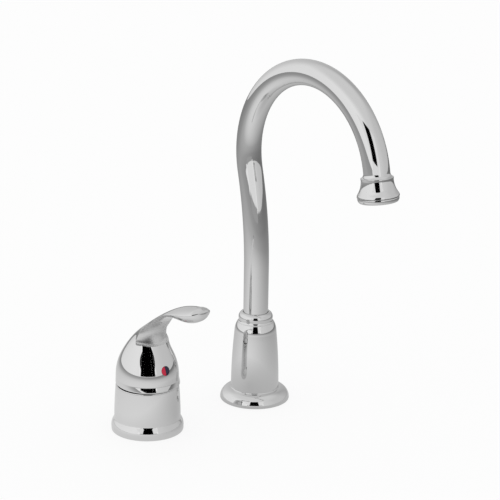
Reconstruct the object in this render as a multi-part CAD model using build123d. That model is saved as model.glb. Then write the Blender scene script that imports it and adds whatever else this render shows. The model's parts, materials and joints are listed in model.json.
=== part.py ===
from build123d import *
import math
import os

# Gooseneck bar faucet in two pieces: a swivelling spout and, beside it, a one-lever mixing valve.
# Millimetres, +Z up. z = 0 is the top of the counter, the origin is the spout's own axis,
# the spout reaches towards -Y (the user) and the valve stands at -X.

# ---------------------------------------------------------------- driving dimensions

valve_offset = 120.0  # spout axis to valve axis
valve_setback = 2.0  # the valve stands this far behind the spout's own line
deck_gap = 20.0  # clear height between each base and its washer, where the counter goes

# spout tube
tube_radius = 11.1  # 7/8 inch tube
tube_wall = 1.1
tube_start_z = 70.0
neck_top_z = 124.3  # the neck is straight up to here
lean_radius = 368.0  # then it leans away from the user
lean_angle = 13.6
arch_radius = 81.7  # and arches over
outlet_angle = 8.0  # the outlet's lean from straight down

# outlet bell, along its own axis: 0 is the end of the arch, positive downstream
bell_ridge_radius = 13.7
bell_waist_radius = 13.5
bell_mouth_radius = 17.7
bell_mouth_at = 17.6
bell_bore_radius = 13.2
lip_end_at = 22.3
lip_end_radius = 15.2

# pedestal and its collar
flange_radius = 31.1
flange_height = 10.8
pedestal_foot_radius = 21.5
pedestal_waist_z = 40.0
pedestal_waist_radius = 20.7
shoulder_z = 64.5
shoulder_radius = 18.8
pedestal_top_z = 73.4
pedestal_top_radius = 16.1
pedestal_wall = 2.2
collar_top_z = 82.4
collar_bead_radius = 15.3
collar_lip_bore = 11.4
collar_skirt_radius = 14.2
collar_skirt_bore = 13.0
collar_skirt_low_z = 58.0
collar_lip_z = 71.2

# shank, spigot and bearings under the collar
shank_radius = 10.9
shank_tail_radius = 10.4  # half-inch thread for the hose, below the nut's
shank_bore = 6.5
shank_low_z = -52.0
shank_tail_z = -36.0
socket_radius = 12.9
socket_top_z = 66.0
socket_bore = 9.08
socket_floor_z = 22.0
shank_flange_radius = 18.0
gasket_height = 1.5
shank_flange_height = 4.0
spigot_radius = 9.0
spigot_bore = 6.5
spigot_low_z = 24.0
spigot_flange_low_z = 67.5
spigot_flange_radius = 12.7
groove_depth = 1.5
ring_section = 0.72  # radius of an O-ring's section

# nuts and washers under the counter
washer_height = 2.0
spout_washer_radius = 22.0
spout_nut_across = 28.0
spout_nut_height = 8.0
valve_washer_radius = 25.0
valve_nut_across = 38.0
valve_nut_height = 10.0

# valve body and trim sleeve
body_radius = 14.0
body_low_z = -46.0
body_step_z = 47.0
body_neck_radius = 12.0
body_top_z = 54.0
cartridge_bore = 9.0
cartridge_floor_z = -22.0
port_radius = 4.5
port_depth = 12.0
port_circle = 7.4
passage_radius = 2.5
passage_circle = 6.2
body_flange_radius = 22.0
sleeve_foot_radius = 31.4
sleeve_wall_radius = 28.8
sleeve_mid_radius = 28.4
sleeve_top_radius = 27.5
sleeve_foot_height = 12.5
sleeve_top_z = 41.7
sleeve_wall = 2.0

# cartridge and stem
shell_radius = 8.95
shell_flange_radius = 11.0
shell_flange_height = 1.5
stem_radius = 4.5
stem_bore = 4.58
stem_top_z = 64.0
stem_low_z = -14.0
clip_z = 51.9
clip_thickness = 1.2
clip_groove_radius = 8.0

# pivot ring, carrier and adapter
pivot_reach = 20.0  # the lever lifts about a pin this far behind the valve's axis
pivot_z = 48.0
pin_radius = 1.25
pin_half_length = 9.7
ring_radius = 17.0
ring_bore = 14.2
ring_low_z = 43.2
ring_top_z = 47.0
nut_radius = 16.0
nut_top_z = 51.0
cheek_inner = 7.2
cheek_outer = 9.7
trunnion_z = 61.0
trunnion_radius = 2.5
slot_half_height = 2.95
slot_travel = 6.2
carrier_wall = 13.4  # inner and outer face of the carrier's front wall
carrier_front = 16.0
screw_z = 60.5
screw_radius = 2.0

# lever handle: a dome that runs up and forward into a leaf-shaped lever
dome_rim_z = 43.4
rim_tilt = 2.0  # degrees, lower at the front
dome_bore = 25.3
dome_ceiling_z = 76.0
rib_low_z = 66.0  # the ribs stand on the carrier's top face
# each section: reach, height, backward tilt of its plane (degrees), rise above and drop below
# the line through its two side edges, half width
handle_sections = (
    (0.0, 38.0, 0.0, 26.8, 26.8, 26.8),
    (0.0, 52.0, 0.0, 27.3, 27.3, 27.3),
    (0.0, 65.6, 1.0, 24.4, 24.4, 24.6),
    (2.0, 76.2, 9.0, 19.0, 19.0, 19.9),
    (5.9, 85.7, 27.0, 12.6, 13.8, 16.6),
    (10.8, 95.6, 45.0, 6.2, 7.6, 15.3),
    (23.4, 107.8, 57.0, 2.9, 2.2, 13.9),
    (35.6, 115.6, 65.0, 2.8, 2.8, 12.8),
    (49.6, 120.9, 71.0, 4.2, 7.2, 13.2),
    (63.4, 123.3, 74.0, 5.6, 8.2, 12.9),
    (72.0, 125.2, 75.5, 5.2, 6.2, 10.8),
    (76.0, 126.6, 76.0, 4.0, 4.2, 8.6),
    (77.8, 127.4, 76.0, 2.0, 1.8, 5.0),
)
# outline of the hollow under the lever's root, cut straight across: (reach, height)
scoop_lip = (20.8, 81.7)
scoop_back = (10.6, 90.6)
scoop_top = (12.4, 98.0)
throat_middle = (17.8, 102.7)
throat_end = (27.0, 106.3)
scoop_front = 60.0  # the cut runs out this far in front of the dome
scoop_front_z = 109.0

# temperature button on the front of the dome
button_radius = 4.25
button_reach = 25.0
button_z = 60.3
button_tilt = 20.0  # its face looks this far upwards
button_depth = 3.0
inlay_radius = 3.95
inlay_depth = 0.9
boss_radius = 6.3

valve = Location((-valve_offset, valve_setback, 0))


# ---------------------------------------------------------------- helpers


def turned(start, *steps):
    """A solid of revolution about Z. A step is a (radius, z) point, or an arc's (middle, end)."""
    edges = []
    here = start
    for step in steps + (start,):
        if isinstance(step[0], tuple):
            middle, end = step
            edges.append(ThreePointArc((here[0], 0, here[1]), (middle[0], 0, middle[1]), (end[0], 0, end[1])))
        else:
            end = step
            edges.append(Line((here[0], 0, here[1]), (end[0], 0, end[1])))
        here = end
    return revolve(make_face(Curve() + edges), Axis.Z)


def ring(outer, inner, low, high):
    """A plain ring about Z between two heights."""
    return turned((inner, low), (outer, low), (outer, high), (inner, high))


def rod(radius, low, high):
    """A plain cylinder about Z between two heights."""
    return Pos(0, 0, (low + high) / 2) * Cylinder(radius, high - low)


def hexagon(across_flats, low, high):
    """A hexagonal prism about Z, its corners turned off as on a real nut."""
    prism = extrude(Pos(0, 0, low) * RegularPolygon(across_flats / 2, 6, major_radius=False), high - low)
    corner = across_flats / 2 / math.cos(math.pi / 6)
    chamfer_height = 0.12 * (high - low)
    turned_off = turned(
        (0, low),
        (across_flats / 2, low),
        (corner, low + chamfer_height),
        (corner, high - chamfer_height),
        (across_flats / 2, high),
        (0, high),
    )
    return prism & turned_off


def o_ring(radius, z):
    """A round-section ring whose outside stands at the given radius."""
    return Pos(0, 0, z) * Torus(radius - ring_section, ring_section)


def fore(reach, z, side=0.0):
    """A point in the valve's own frame: reach towards the user, height, and side towards +X."""
    return Vector(side, -reach, z)


def block(reach, side, height):
    """A box in the valve's own frame from three (low, high) pairs."""
    size = (side[1] - side[0], reach[1] - reach[0], height[1] - height[0])
    middle = fore((reach[0] + reach[1]) / 2, (height[0] + height[1]) / 2, (side[0] + side[1]) / 2)
    return Pos(middle) * Box(*size)


def cross_rod(radius, reach, z, half_length):
    """A cylinder along X in the valve's own frame."""
    return Pos(fore(reach, z)) * Rot(0, 90, 0) * Cylinder(radius, 2 * half_length)


# ---------------------------------------------------------------- spout


def neck_point(reach, z):
    return Vector(0, -reach, z)


def arch_geometry():
    """The centre of the arch, and the point and direction where it ends."""
    lean = math.radians(lean_angle)
    reach = -lean_radius * (1 - math.cos(lean)) + arch_radius * math.cos(lean)
    z = neck_top_z + lean_radius * math.sin(lean) + arch_radius * math.sin(lean)
    out = math.radians(outlet_angle)
    end = neck_point(reach + arch_radius * math.cos(out), z + arch_radius * math.sin(out))
    direction = Vector(0, -math.sin(out), -math.cos(out))
    return neck_point(reach, z), end, direction


def neck_path(end_length):
    """The centre line of the spout tube, with a straight end of the given length."""
    lean = math.radians(lean_angle)
    centre, arch_end, direction = arch_geometry()
    foot = neck_point(0, tube_start_z)
    straight_end = neck_point(0, neck_top_z)
    lean_end = neck_point(-lean_radius * (1 - math.cos(lean)), neck_top_z + lean_radius * math.sin(lean))
    half_lean = lean / 2
    lean_middle = neck_point(
        -lean_radius * (1 - math.cos(half_lean)), neck_top_z + lean_radius * math.sin(half_lean)
    )
    arch_top = centre + Vector(0, 0, arch_radius)
    return (
        Line(foot, straight_end)
        + ThreePointArc(straight_end, lean_middle, lean_end)
        + ThreePointArc(lean_end, arch_top, arch_end)
        + Line(arch_end, arch_end + direction * end_length)
    )


def at_outlet(shape):
    """Places a shape turned about Z at the end of the arch, +Z running downstream."""
    _, end, direction = arch_geometry()
    return Plane(origin=end, x_dir=(1, 0, 0), z_dir=direction).location * shape


tube_end_length = 7.5  # how far the tube goes into the bell


def spout_tube():
    path = neck_path(tube_end_length)
    section = Plane(origin=neck_point(0, tube_start_z), z_dir=(0, 0, 1))
    outside = sweep(section * Circle(tube_radius), path=path)
    bore = sweep(section * Circle(tube_radius - tube_wall), path=path)
    return outside - bore


def outlet_bell():
    """Turned brass bell brazed over the end of the tube."""
    return at_outlet(
        turned(
            (tube_radius, -2.0),
            ((11.9, 0.6), (bell_ridge_radius, 1.9)),
            (bell_ridge_radius, 2.6),
            (bell_waist_radius, 3.6),
            ((bell_waist_radius + 0.85, 9.4), (bell_mouth_radius - 0.6, 15.2)),
            ((bell_mouth_radius - 0.1, 16.4), (bell_mouth_radius, bell_mouth_at)),
            (bell_bore_radius, bell_mouth_at),
            (bell_bore_radius, 9.0),
            (tube_radius - tube_wall, 9.0),
            (tube_radius - tube_wall, tube_end_length),
            (tube_radius, tube_end_length),
        )
    )


def aerator_housing():
    """The lower lip of the outlet: a ring screwed up into the bell."""
    groove = 0.5
    return at_outlet(
        turned(
            (bell_bore_radius - 0.05, 10.6),
            (bell_bore_radius - 0.05, bell_mouth_at + groove),
            (bell_mouth_radius - 0.5, bell_mouth_at + groove),
            ((bell_mouth_radius - 0.5, 20.0), (lip_end_radius + 0.7, lip_end_at - 0.3)),
            (lip_end_radius, lip_end_at),
            (lip_end_radius - 2.6, lip_end_at),
            (lip_end_radius - 3.4, lip_end_at - 1.0),
            (lip_end_radius - 3.4, 10.6),
        )
    )


aerator_bore = lip_end_radius - 3.4


def aerator_insert():
    """Moulded flow straightener: a cup with a grid of square cells in its floor."""
    cell = 2.6
    web = 0.6
    low, high = 12.4, 20.6
    cup = turned(
        (0, high - 3.2),
        (aerator_bore - 1.2, high - 3.2),
        (aerator_bore - 1.2, low),
        (aerator_bore - 0.05, low),
        (aerator_bore - 0.05, high),
        (0, high),
    )
    reach = 3
    holes = Part()
    for column in range(-reach, reach + 1):
        for row in range(-reach, reach + 1):
            centre = (column * (cell + web), row * (cell + web))
            if math.hypot(*centre) + cell * 0.7 < aerator_bore - 1.6:
                holes += Pos(centre[0], centre[1], high - 1.6) * Box(cell, cell, 6)
    return at_outlet(cup - holes)


def aerator_screen():
    """The woven screen, here as the thin disc that it fills."""
    return at_outlet(rod(aerator_bore - 1.3, 13.2, 13.6))


def aerator_washer():
    return at_outlet(ring(bell_bore_radius - 0.1, 10.2, 9.05, 10.55))


def spout_spigot():
    """Brass spigot brazed into the foot of the tube; it turns in the shank's socket."""
    tenon = tube_radius - tube_wall - 0.02
    groove = spigot_radius - groove_depth
    solid = turned(
        (spigot_bore, spigot_low_z),
        (spigot_radius - 0.8, spigot_low_z),
        (spigot_radius, spigot_low_z + 0.8),
        (spigot_radius, spigot_flange_low_z),
        (spigot_flange_radius, spigot_flange_low_z),
        (spigot_flange_radius, tube_start_z),
        (tenon, tube_start_z),
        (tenon, tube_start_z + 12),
        (spigot_bore + 1.6, tube_start_z + 12),
        (spigot_bore, tube_start_z + 9),
    )
    for z in spigot_ring_heights:
        solid -= ring(spigot_radius + 1, groove, z - 0.9, z + 0.9)
    return solid


spigot_ring_heights = (34.0, 44.0)


def spigot_o_rings():
    rings = [o_ring(socket_bore - 0.03, z) for z in spigot_ring_heights]
    return Compound(children=rings)


def lower_bearing_ring():
    return ring(spigot_flange_radius, spigot_radius + 0.1, socket_top_z, spigot_flange_low_z - 0.05)


def upper_bearing_ring():
    return ring(spigot_flange_radius, tube_radius + 0.2, tube_start_z + 0.05, collar_lip_z)


def spout_collar():
    """Bright collar nut: screwed on the shank's socket, it holds the pedestal and the spout down."""
    return turned(
        (collar_skirt_bore, collar_skirt_low_z),
        (collar_skirt_radius, collar_skirt_low_z),
        (collar_skirt_radius, pedestal_top_z),
        (pedestal_top_radius, pedestal_top_z),
        ((15.35, 74.3), (15.05, 75.8)),
        ((collar_bead_radius, 78.2), (14.5, 80.4)),
        ((13.3, 81.7), (collar_lip_bore, collar_top_z)),
        (collar_lip_bore, collar_lip_z),
        (collar_skirt_bore, collar_lip_z),
    )


def spout_pedestal():
    """Bright cover over the shank: flange, tall bell and rounded shoulder, open underneath."""
    inner_top = collar_skirt_radius + 0.2
    outside = [
        (flange_radius - 0.2, 0.3),
        (flange_radius, 1.0),
        ((28.8, 7.4), (pedestal_foot_radius + 0.3, flange_height)),
        (pedestal_foot_radius, flange_height + 0.5),
        ((pedestal_waist_radius, pedestal_waist_z), (shoulder_radius, shoulder_z)),
        ((18.15, 68.8), (pedestal_top_radius, pedestal_top_z)),
    ]
    inside = [
        (inner_top, pedestal_top_z),
        (inner_top, pedestal_top_z - pedestal_wall),
        (shoulder_radius - pedestal_wall, shoulder_z - 1.0),
        (pedestal_foot_radius - pedestal_wall, flange_height),
        (pedestal_foot_radius - pedestal_wall, 6.0),
        (flange_radius - 3.2, 3.4),
        (flange_radius - 1.6, gasket_height),
        (flange_radius - 1.6, 0.3),
    ]
    return turned(*outside, *inside)


def spout_base_gasket():
    return ring(flange_radius - 1.8, shank_radius + 0.3, 0, gasket_height - 0.02)


def spout_shank():
    """Brass post: threaded shank through the counter, flange on it, socket for the spigot above."""
    low = gasket_height
    high = gasket_height + shank_flange_height
    return turned(
        (shank_bore, shank_low_z),
        (shank_tail_radius - 1.0, shank_low_z),
        (shank_tail_radius, shank_low_z + 1.0),
        (shank_tail_radius, shank_tail_z),
        (shank_radius, shank_tail_z + 0.5),
        (shank_radius, low),
        (shank_flange_radius, low),
        (shank_flange_radius, high),
        (socket_radius, high + 1.5),
        (socket_radius, socket_top_z),
        (socket_bore, socket_top_z),
        (socket_bore, socket_floor_z),
        (shank_bore, socket_floor_z - 2.0),
    )


def spout_deck_washer():
    return ring(spout_washer_radius, shank_radius + 0.3, -deck_gap - washer_height, -deck_gap)


def spout_mounting_nut():
    high = -deck_gap - washer_height
    low = high - spout_nut_height
    return hexagon(spout_nut_across, low, high) - rod(shank_radius + 0.02, low - 1, high + 1)


# ---------------------------------------------------------------- valve, fixed parts


def valve_body():
    """Brass body: cartridge bore above, three threaded ports below, thread for the deck nut."""
    low = gasket_height
    high = gasket_height + 4.0
    solid = turned(
        (0, body_low_z),
        (body_radius - 1.0, body_low_z),
        (body_radius, body_low_z + 1.0),
        (body_radius, low),
        (body_flange_radius, low),
        (body_flange_radius, high),
        (body_radius, high + 1.5),
        (body_radius, body_step_z),
        (body_neck_radius, body_step_z),
        (body_neck_radius, body_top_z),
        (cartridge_bore, body_top_z),
        (cartridge_bore, cartridge_floor_z),
        (0, cartridge_floor_z),
    )
    for angle in (90, 210, 330):
        turn = Rot(0, 0, angle)
        port = Pos(port_circle, 0, body_low_z + port_depth / 2) * Cylinder(port_radius, port_depth)
        passage_low = body_low_z + port_depth - 0.5
        passage_length = cartridge_floor_z + 0.5 - passage_low
        passage = Pos(passage_circle, 0, passage_low + passage_length / 2) * Cylinder(
            passage_radius, passage_length
        )
        solid -= turn * (port + passage)
    slots = clip_blank(0.1)
    return valve * (solid - slots)


def clip_blank(margin):
    """The legs of the cartridge's clip, for the clip itself and for the slots that it goes in."""
    leg = block(
        (-9.5, body_neck_radius + 1.5),
        (clip_groove_radius - margin, clip_groove_radius + 2.4 + margin),
        (clip_z - margin, clip_z + clip_thickness + margin),
    )
    return leg + mirror(leg, Plane.YZ)


def cartridge_clip():
    """U-shaped spring clip, pushed in from the front, that keeps the cartridge down."""
    bridge = block(
        (body_neck_radius + 1.0, body_neck_radius + 3.0),
        (-clip_groove_radius - 2.4, clip_groove_radius + 2.4),
        (clip_z, clip_z + clip_thickness),
    )
    return valve * (clip_blank(0) + bridge)


def valve_trim_sleeve():
    """Bright sleeve round the valve body, with its spreading foot."""
    outer = [
        (sleeve_foot_radius - 0.3, 0.3),
        (sleeve_foot_radius - 0.1, 1.0),
        (sleeve_foot_radius, 4.4),
        ((30.7, 7.9), (29.6, 10.0)),
        ((29.0, 11.0), (sleeve_wall_radius, sleeve_foot_height)),
        ((sleeve_mid_radius, 27.0), (sleeve_top_radius, sleeve_top_z - 0.8)),
        ((sleeve_top_radius - 0.25, sleeve_top_z - 0.25), (sleeve_top_radius - 0.8, sleeve_top_z)),
    ]
    inner = [
        (body_radius + 0.1, sleeve_top_z),
        (body_radius + 0.1, sleeve_top_z - sleeve_wall),
        (sleeve_top_radius - sleeve_wall, sleeve_top_z - sleeve_wall),
        (sleeve_mid_radius - sleeve_wall, 20.0),
        (sleeve_mid_radius - sleeve_wall, 8.0),
        (sleeve_foot_radius - 1.8, 4.0),
        (sleeve_foot_radius - 1.8, 0.3),
    ]
    return valve * turned(*outer, *inner)


def valve_base_gasket():
    return valve * ring(sleeve_foot_radius - 2.0, body_radius + 0.3, 0, gasket_height - 0.02)


def valve_deck_washer():
    return valve * ring(valve_washer_radius, body_radius + 0.3, -deck_gap - washer_height, -deck_gap)


def valve_mounting_nut():
    high = -deck_gap - washer_height
    low = high - valve_nut_height
    return valve * (hexagon(valve_nut_across, low, high) - rod(body_radius + 0.02, low - 1, high + 1))


def cartridge_shell():
    """Cartridge sleeve: stem bore, two ring grooves, side windows and grooves for the clip."""
    low = cartridge_floor_z + 1.5
    high = body_top_z
    solid = turned(
        (stem_bore, low + 4),
        (6.4, low + 4),
        (6.4, low),
        (shell_radius, low),
        (shell_radius, high),
        (shell_flange_radius, high),
        (shell_flange_radius, high + shell_flange_height),
        (stem_bore, high + shell_flange_height),
    )
    for z in cartridge_ring_heights:
        solid -= ring(shell_radius + 1, shell_radius - groove_depth, z - 0.9, z + 0.9)
    window = Pos(0, 0, 12) * Rot(0, 90, 0) * Cylinder(2.2, 2 * shell_radius + 2)
    solid -= window
    return valve * (solid - clip_blank(0.1))


cartridge_ring_heights = (-8.0, 32.0)


def cartridge_o_rings():
    rings = [valve * o_ring(cartridge_bore - 0.05, z) for z in cartridge_ring_heights]
    return Compound(children=rings)


def cartridge_base_seal():
    """Rubber disc between the cartridge and the body's floor, open over the three passages."""
    disc = rod(shell_radius - 0.1, cartridge_floor_z, cartridge_floor_z + 1.48)
    for angle in (90, 210, 330):
        disc -= Rot(0, 0, angle) * Pos(passage_circle, 0, cartridge_floor_z) * Cylinder(2.0, 6)
    return valve * disc


def pivot_washer():
    return valve * ring(20.0, body_radius + 0.15, sleeve_top_z, ring_low_z - 0.05)


def retainer_nut():
    """Round nut with four spanner notches; it keeps the pivot ring on the body."""
    solid = ring(nut_radius, body_neck_radius + 0.02, ring_top_z + 0.1, nut_top_z)
    for angle in (0, 90, 180, 270):
        solid -= Rot(0, 0, angle + 45) * Pos(nut_radius, 0, nut_top_z) * Box(3.0, 3.0, 5.0)
    return valve * solid


# ---------------------------------------------------------------- valve, parts that turn


def pivot_ring():
    """Ring that turns on the body and carries the lever's pin behind it."""
    tower_half = cheek_inner - 0.3
    solid = ring(ring_radius, ring_bore, ring_low_z, ring_top_z)
    tower_reach = (-pivot_reach - 2.6, -ring_bore - 1.2)
    tower = block(tower_reach, (-tower_half, tower_half), (ring_low_z + 0.8, pivot_z + 2.6))
    opening = rod(ring_bore + 2.2, ring_top_z + 0.05, pivot_z + 5)
    solid = solid + (tower - opening)
    return valve * (solid - cross_rod(pin_radius, -pivot_reach, pivot_z, pin_half_length))


def pivot_pin():
    return valve * cross_rod(pin_radius, -pivot_reach, pivot_z, pin_half_length)


def cartridge_stem():
    """Stem that turns for warmth and rises for flow; a flow slot is milled in its foot."""
    solid = rod(stem_radius, stem_low_z, stem_top_z - 7) + rod(3.2, stem_top_z - 7.5, stem_top_z)
    for z in stem_ring_heights:
        solid -= ring(stem_radius + 1, stem_radius - groove_depth, z - 0.9, z + 0.9)
    solid -= block((-1.2, 8), (-2.0, 2.0), (stem_low_z + 3, 8.0))
    return valve * (solid - rod(1.6, stem_top_z - 14, stem_top_z + 1))


stem_ring_heights = (20.0, 42.0)


def stem_o_rings():
    rings = [valve * o_ring(stem_bore - 0.03, z) for z in stem_ring_heights]
    return Compound(children=rings)


def stem_adapter():
    """Block on top of the stem; its two trunnions ride in the carrier's slots."""
    half = cheek_inner - 0.5
    low, high = stem_top_z - 6.95, stem_top_z + 1.2
    solid = block((-6, 6), (-half, half), (low, high))
    solid += cross_rod(trunnion_radius, 0, trunnion_z, cheek_outer - 0.1)
    solid -= rod(3.22, low - 1, stem_top_z)
    return valve * (solid - rod(2.0, low, high + 1))


def stem_screw():
    high = stem_top_z + 1.2
    solid = rod(1.58, stem_top_z - 12, high) + rod(3.4, high, high + 2.0)
    socket = extrude(Pos(0, 0, high + 0.8) * RegularPolygon(1.25, 6, major_radius=False), 3)
    return valve * (solid - socket)


def handle_carrier():
    """Moulded frame inside the handle: two cheeks hinged on the pin, a front wall for the screw."""
    eye = 3.0
    outline = Polyline(
        fore(-pivot_reach - eye, pivot_z),
        fore(-pivot_reach - eye, pivot_z + 4.0),
        fore(-12.0, rib_low_z),
        fore(carrier_front, rib_low_z),
        fore(carrier_front, trunnion_z - 5.0),
        fore(-9.0, trunnion_z - 5.0),
        fore(-pivot_reach + eye, pivot_z + 1.4),
        fore(-pivot_reach + eye, pivot_z),
        close=True,
    )
    plate = extrude(make_face(outline), cheek_outer - cheek_inner, dir=(1, 0, 0))
    plate = Pos(cheek_inner, 0, 0) * plate
    plate += Pos((cheek_inner + cheek_outer) / 2, pivot_reach, pivot_z) * Rot(0, 90, 0) * Cylinder(
        eye, cheek_outer - cheek_inner
    )
    solid = plate + mirror(plate, Plane.YZ)
    solid += block((carrier_wall, carrier_front), (-cheek_outer, cheek_outer), (trunnion_z - 5.0, rib_low_z))
    solid += block((-12.0, -9.0), (-cheek_outer, cheek_outer), (62.0, rib_low_z))
    slot = block((0, slot_travel), (-20, 20), (trunnion_z - slot_half_height, trunnion_z + slot_half_height))
    for reach in (0, slot_travel):
        slot += cross_rod(slot_half_height, reach, trunnion_z, 20)
    solid -= slot
    solid -= cross_rod(pin_radius + 0.05, -pivot_reach, pivot_z, 20)
    screw_bore = Pos(fore(carrier_wall, screw_z)) * Rot(90, 0, 0) * Cylinder(screw_radius, 12)
    return valve * (solid - screw_bore)


def set_screw():
    """Hexagon-socket screw behind the button that holds the handle on the carrier."""
    low, high = carrier_wall, 20.6
    turn = Rot(90, 0, 0)
    solid = Pos(fore((low + high) / 2, screw_z)) * turn * Cylinder(screw_radius - 0.02, high - low)
    socket = extrude(RegularPolygon(1.0, 6, major_radius=False), 3.0)
    return valve * (solid - Pos(fore(high + 0.01, screw_z)) * Rot(-90, 0, 0) * socket)


def handle_section(reach, z, tilt, rise, drop, half_width):
    """One cross-section of the handle: two arcs that meet in an edge at each side."""
    angle = math.radians(tilt)
    normal = (0, -math.sin(angle), math.cos(angle))
    plane = Plane(origin=fore(reach, z), x_dir=(1, 0, 0), z_dir=normal)
    above = ThreePointArc((-half_width, 0), (0, rise), (half_width, 0))
    below = ThreePointArc((half_width, 0), (0, -drop), (-half_width, 0))
    return plane * make_face(above + below)


def handle_blank():
    """The handle's outside, before anything is cut out of it."""
    solid = loft([handle_section(*values) for values in handle_sections])
    below_rim = Pos(0, 0, dome_rim_z) * Rot(rim_tilt, 0, 0) * Pos(0, 0, -10) * Box(80, 80, 20)
    outline = (
        ThreePointArc(fore(*scoop_lip), fore(*scoop_back), fore(*scoop_top))
        + ThreePointArc(fore(*scoop_top), fore(*throat_middle), fore(*throat_end))
        + Polyline(
            fore(*throat_end),
            fore(scoop_front, scoop_front_z),
            fore(scoop_front, scoop_lip[1]),
            fore(*scoop_lip),
        )
    )
    scoop = extrude(make_face(outline), 30, dir=(1, 0, 0), both=True)
    return solid - below_rim - scoop


def at_button(shape):
    """Places a shape turned about Z on the dome's front, +Z looking out of it."""
    angle = math.radians(button_tilt)
    outward = (0, -math.cos(angle), math.sin(angle))
    return Plane(origin=fore(button_reach, button_z), x_dir=(1, 0, 0), z_dir=outward).location * shape


def handle():
    """Cast dome and lever in one, hollow over the carrier, with a boss for the set screw."""
    blank = handle_blank()
    cavity = turned(
        (0, dome_rim_z - 5),
        (dome_bore, dome_rim_z - 5),
        (dome_bore, 52.0),
        ((24.6, 58.5), (22.0, 65.0)),
        (15.8, 74.0),
        (12.0, dome_ceiling_z),
        (0, dome_ceiling_z),
    )
    boss_low = carrier_front + 0.05
    boss = Pos(fore((boss_low + 30) / 2, screw_z)) * Rot(90, 0, 0) * Cylinder(boss_radius, 30 - boss_low)
    ribs = block((-10.0, 12.0), (cheek_inner - 0.3, cheek_outer), (rib_low_z, dome_ceiling_z + 1))
    ribs += mirror(ribs, Plane.YZ)
    solid = blank - cavity + (blank & (boss + ribs))
    solid -= Pos(fore(20, screw_z)) * Rot(90, 0, 0) * Cylinder(screw_radius, 20)
    return valve * (solid - at_button(rod(button_radius + 0.02, -button_depth, 10)))


def index_plug():
    """Moulded plug over the set screw, with a shallow cup for the two coloured halves."""
    plug = turned(
        (0, 0.05 - button_depth),
        (button_radius - 0.3, 0.05 - button_depth),
        (button_radius, 0.35 - button_depth),
        (button_radius, 0.2),
        (inlay_radius + 0.02, 0.35),
        (inlay_radius + 0.02, 0.35 - inlay_depth),
        (0, 0.35 - inlay_depth),
    )
    return valve * at_button(plug)


def inlay(side):
    """Half of the button's coloured face, on the -X (-1) or +X (1) side."""
    low = 0.37 - inlay_depth
    whole = turned((0, low), (inlay_radius, low), (inlay_radius, 0.35), ((2.2, 0.62), (0, 0.72)))
    half = Pos(side * (5 + 0.02), 0, 0) * Box(10, 20, 10)
    return valve * at_button(whole & half)


def hot_inlay():
    return inlay(-1)


def cold_inlay():
    return inlay(1)


os.makedirs("parts", exist_ok=True)

nodes = {
    "spout_tube": spout_tube,
    "outlet_bell": outlet_bell,
    "aerator_housing": aerator_housing,
    "aerator_insert": aerator_insert,
    "aerator_screen": aerator_screen,
    "aerator_washer": aerator_washer,
    "spout_spigot": spout_spigot,
    "spigot_o_rings": spigot_o_rings,
    "lower_bearing_ring": lower_bearing_ring,
    "upper_bearing_ring": upper_bearing_ring,
    "spout_collar": spout_collar,
    "spout_pedestal": spout_pedestal,
    "spout_base_gasket": spout_base_gasket,
    "spout_shank": spout_shank,
    "spout_deck_washer": spout_deck_washer,
    "spout_mounting_nut": spout_mounting_nut,
    "valve_body": valve_body,
    "cartridge_clip": cartridge_clip,
    "valve_trim_sleeve": valve_trim_sleeve,
    "valve_base_gasket": valve_base_gasket,
    "valve_deck_washer": valve_deck_washer,
    "valve_mounting_nut": valve_mounting_nut,
    "cartridge_shell": cartridge_shell,
    "cartridge_o_rings": cartridge_o_rings,
    "cartridge_base_seal": cartridge_base_seal,
    "pivot_washer": pivot_washer,
    "retainer_nut": retainer_nut,
    "pivot_ring": pivot_ring,
    "pivot_pin": pivot_pin,
    "cartridge_stem": cartridge_stem,
    "stem_o_rings": stem_o_rings,
    "stem_adapter": stem_adapter,
    "stem_screw": stem_screw,
    "handle_carrier": handle_carrier,
    "handle_set_screw": set_screw,
    "handle": handle,
    "index_plug": index_plug,
    "hot_inlay": hot_inlay,
    "cold_inlay": cold_inlay,
}

for name, make in nodes.items():
    export_step(make(), f"parts/{name}.step")
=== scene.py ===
import json
import math
import bmesh
import bpy
import numpy as np
from mathutils import Matrix, Vector


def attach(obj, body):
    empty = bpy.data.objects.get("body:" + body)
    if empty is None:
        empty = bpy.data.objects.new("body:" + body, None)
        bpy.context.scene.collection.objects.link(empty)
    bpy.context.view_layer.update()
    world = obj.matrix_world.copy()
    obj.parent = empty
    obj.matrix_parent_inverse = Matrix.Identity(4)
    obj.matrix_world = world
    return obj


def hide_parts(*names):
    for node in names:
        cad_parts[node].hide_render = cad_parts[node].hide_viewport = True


# Gooseneck bar faucet: swivel spout on its pedestal, one-lever valve beside it. Metres, z = 0 on the counter.
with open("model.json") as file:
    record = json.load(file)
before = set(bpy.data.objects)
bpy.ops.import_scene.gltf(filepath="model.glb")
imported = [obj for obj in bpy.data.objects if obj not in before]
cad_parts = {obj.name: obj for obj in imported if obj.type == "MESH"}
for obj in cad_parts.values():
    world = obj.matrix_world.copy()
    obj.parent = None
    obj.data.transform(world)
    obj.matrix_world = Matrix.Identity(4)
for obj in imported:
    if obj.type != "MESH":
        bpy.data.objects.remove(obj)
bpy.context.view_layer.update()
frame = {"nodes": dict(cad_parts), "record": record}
cadNodes = frame["nodes"]
mm = 0.001

valvePlace = {"offset": 120.0, "setback": 2.0}  # valve axis: left of the spout's axis and behind it
valveShift = (-valvePlace["offset"], valvePlace["setback"], 0.0)


# colours and nodes

def linear(hexColour):
    # the linear red, green, blue and alpha of a colour written as #RRGGBB
    channels = [int(hexColour[i:i + 2], 16) / 255 for i in (1, 3, 5)]
    return [c / 12.92 if c <= 0.04045 else ((c + 0.055) / 1.055) ** 2.4 for c in channels] + [1.0]


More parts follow.
